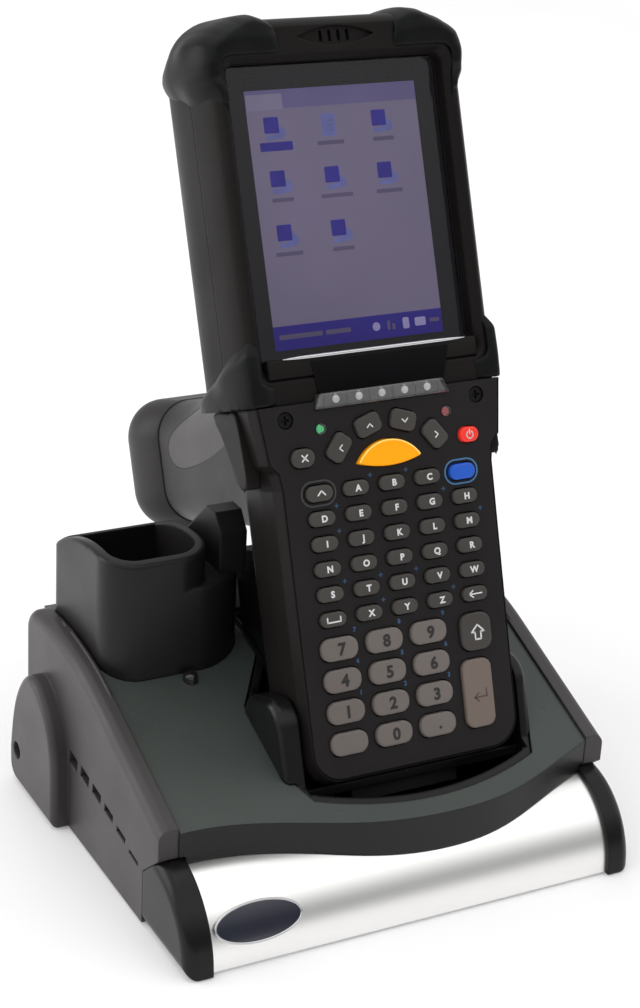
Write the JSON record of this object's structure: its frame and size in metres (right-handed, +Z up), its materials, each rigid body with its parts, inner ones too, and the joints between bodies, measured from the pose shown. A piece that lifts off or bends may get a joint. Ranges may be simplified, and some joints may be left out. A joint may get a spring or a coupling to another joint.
{
  "type": "portable barcode data terminal in a charging cradle",
  "caption": "Pistol-grip portable data terminal with a display and a full keypad, standing in its desk charging cradle with a spare-battery bay.",
  "frame": {"origin": "on the table, under the middle of the whole set's box", "axes": "+Z up, +X to the terminal's right as seen from its front, +Y towards the back of the cradle"},
  "size_m": [0.164, 0.2082, 0.2506],
  "materials": {
    "cover_plastic": "satin moulded",
    "panel_plastic": "fine texture",
    "cup_plastic": "satin moulded",
    "bay_plastic": "satin moulded",
    "bar_metal": "satin anodised",
    "badge_metal": "gloss with a bright rim",
    "foot_rubber": "matt",
    "screw_steel": "blackened",
    "board_green": "circuit board",
    "contact_gold": "bright",
    "connector_plastic": "moulded",
    "amber_lens": "clear lens",
    "head_plastic": "fine texture",
    "boot_rubber": "matt",
    "window_glass": "polished",
    "display_panel": "lit display",
    "scan_glass": "polished, red",
    "grip_plastic": "satin moulded",
    "cheek_plastic": "light grey",
    "trigger_plastic": "satin",
    "pin_steel": "ground",
    "keypad_plastic": "satin",
    "clear_lens": "clear",
    "letter_key": "hard silicone",
    "number_key": "hard silicone",
    "scan_key_yellow": "hard silicone",
    "power_key_red": "translucent",
    "function_key_blue": "hard silicone",
    "enter_key_grey": "hard silicone"
  },
  "bodies": {
    "cradle": {"cradle_base": "panel_plastic", "top_cover": "cover_plastic", "docking_cup": "cup_plastic", "battery_bay": "bay_plastic", "front_bar": "bar_metal", "bar_end_caps": "cup_plastic", "badge_plate": "badge_metal", "right_side_panel": "panel_plastic", "left_side_panel": "panel_plastic", "rubber_feet": "foot_rubber", "cradle_screws": "screw_steel", "cradle_board": "board_green", "dock_connector": "connector_plastic", "charging_contacts": "contact_gold", "bay_lens": "amber_lens", "rear_sockets": "connector_plastic"},
    "terminal": {"head_housing": "head_plastic", "head_bezel": "head_plastic", "corner_boots": "boot_rubber", "touch_window": "window_glass", "display_module": "display_panel", "main_board": "board_green", "scan_engine": "connector_plastic", "scan_window": "scan_glass", "loudspeaker": "connector_plastic", "grip_left": "grip_plastic", "grip_right": "grip_plastic", "grip_cheeks": "cheek_plastic", "trigger_pin": "pin_steel", "trigger_spring": "pin_steel", "lower_housing": "head_plastic", "keypad_frame": "keypad_plastic", "keypad_board": "board_green", "keypad_lenses": "clear_lens", "terminal_screws": "screw_steel", "io_contacts": "contact_gold"},
    "trigger": {"trigger": "trigger_plastic"},
    "battery_pack": {"battery_pack": "grip_plastic"},
    "battery_release": {"battery_release": "trigger_plastic"},
    "key_control": {"key_control": "letter_key"},
    "key_enter": {"key_enter": "enter_key_grey"},
    "key_escape": {"key_escape": "letter_key"},
    "key_function": {"key_function": "function_key_blue"},
    "key_nav_1": {"key_nav_1": "letter_key"},
    "key_nav_2": {"key_nav_2": "letter_key"},
    "key_nav_3": {"key_nav_3": "letter_key"},
    "key_nav_4": {"key_nav_4": "letter_key"},
    "key_power": {"key_power": "power_key_red"},
    "key_scan": {"key_scan": "scan_key_yellow"},
    "key_shift": {"key_shift": "letter_key"},
    "letter_row_1": {"letter_row_1": "letter_key"},
    "letter_row_2": {"letter_row_2": "letter_key"},
    "letter_row_3": {"letter_row_3": "letter_key"},
    "letter_row_4": {"letter_row_4": "letter_key"},
    "letter_row_5": {"letter_row_5": "letter_key"},
    "letter_row_6": {"letter_row_6": "letter_key"},
    "number_row_1": {"number_row_1": "number_key"},
    "number_row_2": {"number_row_2": "number_key"},
    "number_row_3": {"number_row_3": "number_key"},
    "number_row_4": {"number_row_4": "number_key"}
  },
  "joints": [
    {"name": "terminal_lift", "type": "slide", "parent": "cradle", "child": "terminal", "axis": [0, 0.3407, 0.9402], "range_m": [0, 0.09]},
    {"name": "trigger_pull", "type": "hinge", "parent": "terminal", "child": "trigger", "pos_m": [0.0119, 0.00783, 0.1288], "axis": [1, 0, 0], "range_deg": [0, 9], "stiffness_Nm_per_rad": 0.05},
    {"name": "battery_slide", "type": "slide", "parent": "terminal", "child": "battery_pack", "axis": [0, 0.9288, -0.3706], "range_m": [0, 0.045]},
    {"name": "battery_release_press", "type": "slide", "parent": "terminal", "child": "battery_release", "axis": [0, 0.3706, 0.9288], "range_m": [0, 0.0012], "stiffness_N_per_m": 800},
    {"name": "key_control_press", "type": "slide", "parent": "terminal", "child": "key_control", "axis": [0, 0.9402, -0.3407], "range_m": [0, 0.001], "stiffness_N_per_m": 900},
    {"name": "key_enter_press", "type": "slide", "parent": "terminal", "child": "key_enter", "axis": [0, 0.9402, -0.3407], "range_m": [0, 0.001], "stiffness_N_per_m": 900},
    {"name": "key_escape_press", "type": "slide", "parent": "terminal", "child": "key_escape", "axis": [0, 0.9402, -0.3407], "range_m": [0, 0.001], "stiffness_N_per_m": 900},
    {"name": "key_function_press", "type": "slide", "parent": "terminal", "child": "key_function", "axis": [0, 0.9402, -0.3407], "range_m": [0, 0.001], "stiffness_N_per_m": 900},
    {"name": "key_nav_1_press", "type": "slide", "parent": "terminal", "child": "key_nav_1", "axis": [0, 0.9402, -0.3407], "range_m": [0, 0.001], "stiffness_N_per_m": 900},
    {"name": "key_nav_2_press", "type": "slide", "parent": "terminal", "child": "key_nav_2", "axis": [0, 0.9402, -0.3407], "range_m": [0, 0.001], "stiffness_N_per_m": 900},
    {"name": "key_nav_3_press", "type": "slide", "parent": "terminal", "child": "key_nav_3", "axis": [0, 0.9402, -0.3407], "range_m": [0, 0.001], "stiffness_N_per_m": 900},
    {"name": "key_nav_4_press", "type": "slide", "parent": "terminal", "child": "key_nav_4", "axis": [0, 0.9402, -0.3407], "range_m": [0, 0.001], "stiffness_N_per_m": 900},
    {"name": "key_power_press", "type": "slide", "parent": "terminal", "child": "key_power", "axis": [0, 0.9402, -0.3407], "range_m": [0, 0.001], "stiffness_N_per_m": 900},
    {"name": "key_scan_press", "type": "slide", "parent": "terminal", "child": "key_scan", "axis": [0, 0.9402, -0.3407], "range_m": [0, 0.001], "stiffness_N_per_m": 900},
    {"name": "key_shift_press", "type": "slide", "parent": "terminal", "child": "key_shift", "axis": [0, 0.9402, -0.3407], "range_m": [0, 0.001], "stiffness_N_per_m": 900},
    {"name": "letter_row_1_press", "type": "slide", "parent": "terminal", "child": "letter_row_1", "axis": [0, 0.9402, -0.3407], "range_m": [0, 0.001], "stiffness_N_per_m": 900},
    {"name": "letter_row_2_press", "type": "slide", "parent": "terminal", "child": "letter_row_2", "axis": [0, 0.9402, -0.3407], "range_m": [0, 0.001], "stiffness_N_per_m": 900},
    {"name": "letter_row_3_press", "type": "slide", "parent": "terminal", "child": "letter_row_3", "axis": [0, 0.9402, -0.3407], "range_m": [0, 0.001], "stiffness_N_per_m": 900},
    {"name": "letter_row_4_press", "type": "slide", "parent": "terminal", "child": "letter_row_4", "axis": [0, 0.9402, -0.3407], "range_m": [0, 0.001], "stiffness_N_per_m": 900},
    {"name": "letter_row_5_press", "type": "slide", "parent": "terminal", "child": "letter_row_5", "axis": [0, 0.9402, -0.3407], "range_m": [0, 0.001], "stiffness_N_per_m": 900},
    {"name": "letter_row_6_press", "type": "slide", "parent": "terminal", "child": "letter_row_6", "axis": [0, 0.9402, -0.3407], "range_m": [0, 0.001], "stiffness_N_per_m": 900},
    {"name": "number_row_1_press", "type": "slide", "parent": "terminal", "child": "number_row_1", "axis": [0, 0.9402, -0.3407], "range_m": [0, 0.001], "stiffness_N_per_m": 900},
    {"name": "number_row_2_press", "type": "slide", "parent": "terminal", "child": "number_row_2", "axis": [0, 0.9402, -0.3407], "range_m": [0, 0.001], "stiffness_N_per_m": 900},
    {"name": "number_row_3_press", "type": "slide", "parent": "terminal", "child": "number_row_3", "axis": [0, 0.9402, -0.3407], "range_m": [0, 0.001], "stiffness_N_per_m": 900},
    {"name": "number_row_4_press", "type": "slide", "parent": "terminal", "child": "number_row_4", "axis": [0, 0.9402, -0.3407], "range_m": [0, 0.001], "stiffness_N_per_m": 900}
  ]
}
